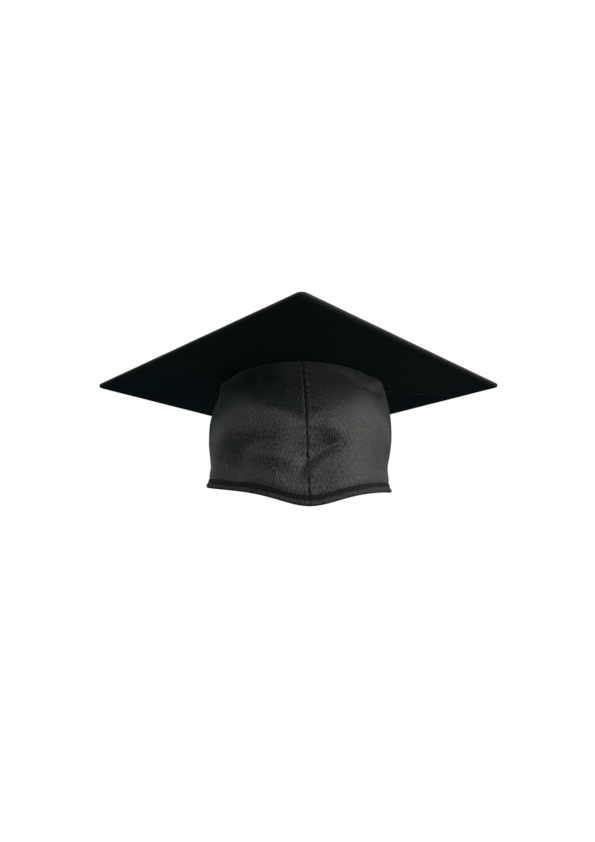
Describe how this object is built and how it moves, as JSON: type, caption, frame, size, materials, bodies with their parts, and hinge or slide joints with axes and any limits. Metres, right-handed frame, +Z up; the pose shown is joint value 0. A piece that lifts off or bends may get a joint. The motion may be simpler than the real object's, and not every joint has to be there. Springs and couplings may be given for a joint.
{
  "type": "graduation cap",
  "caption": "Soft graduation cap: square cloth-covered board on a sewn cloth crown, bound hem with a front point, elastic back and a covered button for a tassel.",
  "frame": {"origin": "below the middle of the board, at the height of the hem's lowest point over the forehead (the bounding box's bottom centre)", "axes": "+Z up through the board and the button's axis, -Y towards the wearer's face, +X to the wearer's left; the board's corners lie on the X and Y axes"},
  "size_m": [0.3418, 0.3418, 0.1286],
  "materials": {
    "crown_cloth": "black twill, matte with a faint sheen",
    "board_cloth": "black twill stretched flat",
    "binding": "black cloth binding",
    "lining_cloth": "black plain-weave cloth",
    "seam_tape": "black ribbed tape",
    "sweatband": "black satin-weave band",
    "elastic": "black braided elastic",
    "thread": "black polyester thread",
    "label": "blank woven white label",
    "chipboard": "grey-brown chipboard",
    "washer_metal": "black painted steel",
    "button_metal": "plain pressed steel",
    "button_plastic": "black nylon",
    "rivet_metal": "plain brass"
  },
  "bodies": {
    "cap": {"board_core": "chipboard", "board_cover_top": "board_cloth", "board_cover_under_front": "board_cloth", "board_cover_under_back": "board_cloth", "crown_tip": "lining_cloth", "crown_front_left": "crown_cloth", "crown_front_right": "crown_cloth", "crown_back_left": "crown_cloth", "crown_back_right": "crown_cloth", "front_seam_tape": "seam_tape", "back_seam_tape": "seam_tape", "side_seam_tape_left": "seam_tape", "side_seam_tape_right": "seam_tape", "hem_band": "binding", "sweatband": "sweatband", "care_label": "label", "button_washer": "washer_metal"},
    "button": {"button_cloth": "board_cloth", "button_shell": "button_metal", "button_back_plate": "button_plastic", "button_rivet": "rivet_metal"},
    "back_gather": {"elastic_casing": "crown_cloth", "back_elastic": "elastic", "elastic_tack_left": "thread", "elastic_tack_right": "thread"}
  },
  "joints": [
    {"name": "button_turn", "type": "hinge", "parent": "cap", "child": "button", "pos_m": [0, 0, 0.1224], "axis": [0, 0, 1], "continuous": true},
    {"name": "back_elastic_stretch", "type": "slide", "parent": "cap", "child": "back_gather", "axis": [0, 1, 0], "range_m": [0, 0.015], "stiffness_N_per_m": 150, "springref_m": -0.005}
  ]
}
